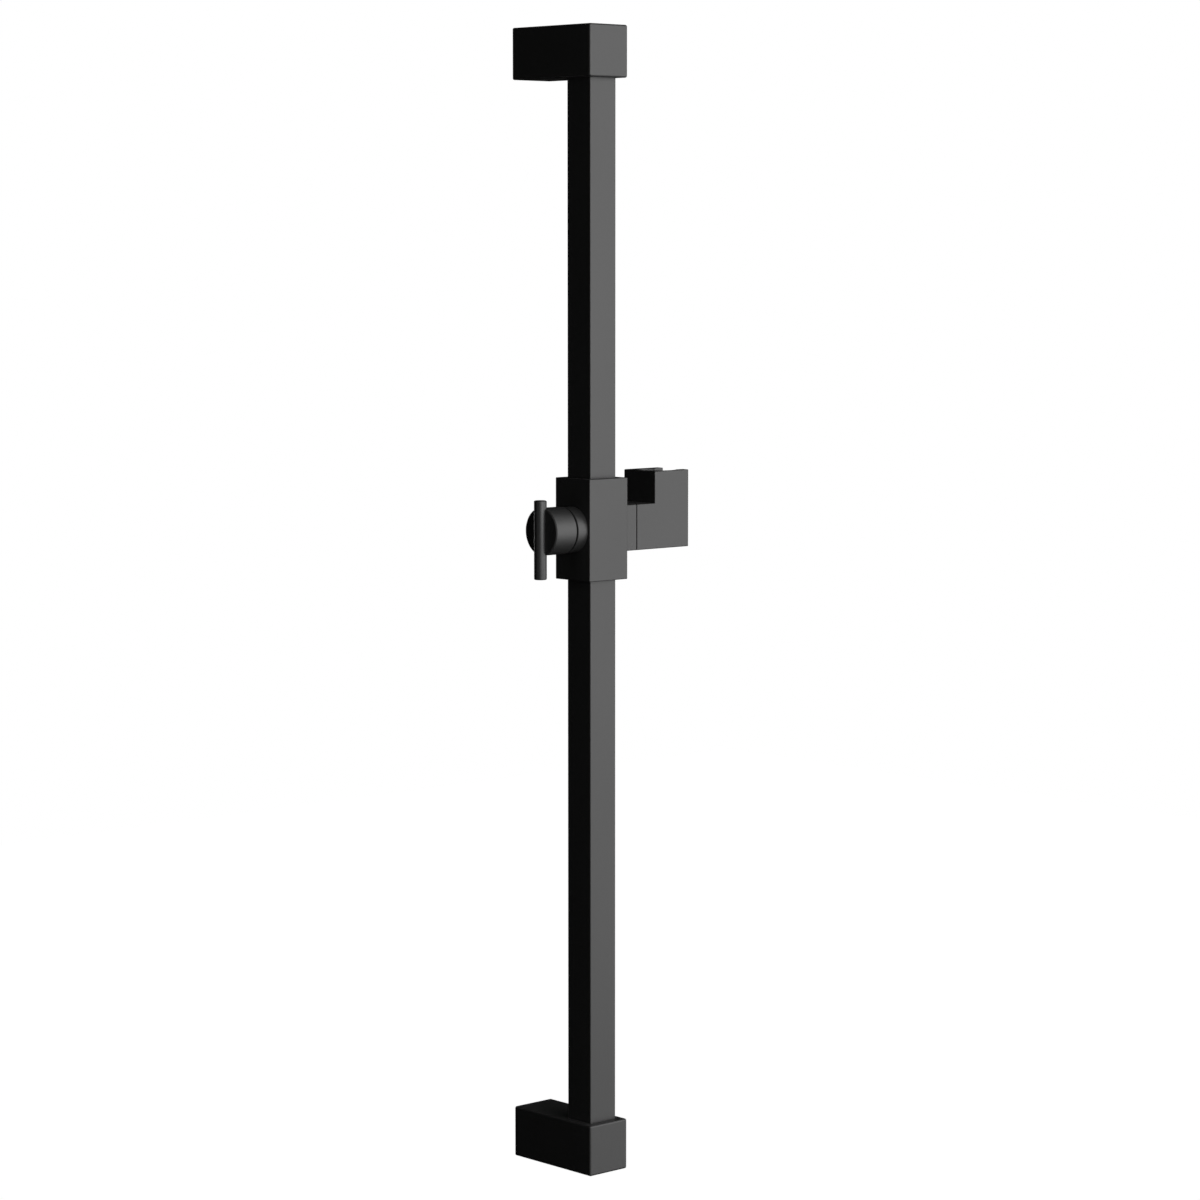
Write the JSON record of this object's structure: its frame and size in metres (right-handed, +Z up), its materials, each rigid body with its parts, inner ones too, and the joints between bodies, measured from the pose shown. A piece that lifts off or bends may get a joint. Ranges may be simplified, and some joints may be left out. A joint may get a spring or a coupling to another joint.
{
  "type": "shower slide rail",
  "caption": "Square wall rail on two block brackets, with a lever-clamped sliding carrier and a tilting, slotted holder for a hand shower.",
  "frame": {"origin": "on the wall plane, halfway between the two wall fixings", "axes": "X to the right along the wall, Y into the wall, Z up along the rail"},
  "size_m": [0.1119, 0.069, 0.69],
  "materials": {
    "matt_black_tube": "matt black lacquer on a drawn tube",
    "matt_black_casting": "matt black lacquer on a zinc casting",
    "matt_black_turned": "matt black lacquer on turned brass",
    "zinc_mount": "bare cast metal",
    "stainless_screw": "bare steel",
    "turned_brass": "bare turned brass",
    "black_nylon": "moulded",
    "pad_rubber": "moulded"
  },
  "bodies": {
    "rail": {"rail_tube": "matt_black_tube", "upper_bracket": "matt_black_casting", "lower_bracket": "matt_black_casting", "upper_wall_mount": "zinc_mount", "lower_wall_mount": "zinc_mount", "upper_grub_screw": "stainless_screw", "lower_grub_screw": "stainless_screw", "upper_rail_plug": "zinc_mount", "lower_rail_plug": "zinc_mount", "upper_rail_screw": "stainless_screw", "lower_rail_screw": "stainless_screw"},
    "slider": {"slider_body": "matt_black_casting", "upper_glide_liner": "black_nylon", "lower_glide_liner": "black_nylon", "knob_collar": "matt_black_casting", "clamp_guide": "turned_brass", "retaining_ring": "stainless_screw", "knob_washer": "black_nylon", "holder_boss": "matt_black_casting", "boss_screws": "stainless_screw", "pivot_screw": "stainless_screw", "friction_washer": "black_nylon", "thrust_washer": "stainless_screw", "disc_springs": "stainless_screw"},
    "knob": {"knob_head": "matt_black_turned", "lever_rod": "matt_black_turned", "rod_screws": "stainless_screw", "clamp_spindle": "turned_brass"},
    "plunger": {"clamp_plunger": "turned_brass", "brake_pad": "pad_rubber"},
    "holder": {"holder_body": "matt_black_casting", "pivot_bush": "black_nylon"}
  },
  "joints": [
    {"name": "slider_travel", "type": "slide", "parent": "rail", "child": "slider", "axis": [0, 0, 1], "range_m": [-0.3299, 0.2368]},
    {"name": "holder_tilt", "type": "hinge", "parent": "slider", "child": "holder", "pos_m": [0.0246, -0.0536, 0.04655], "axis": [1, 0, 0], "range_deg": [-90, 90]},
    {"name": "knob_turn", "type": "hinge", "parent": "slider", "child": "knob", "pos_m": [-0.0241, -0.0536, 0.04655], "axis": [-1, 0, 0], "range_deg": [0, 180]},
    {"name": "plunger_travel", "type": "slide", "parent": "slider", "child": "plunger", "axis": [-1, 0, 0], "range_m": [0, 0.0005]}
  ],
  "couplings": [
    {"joint": "plunger_travel", "follows": "knob_turn", "m_per_rad": 0.000159}
  ]
}
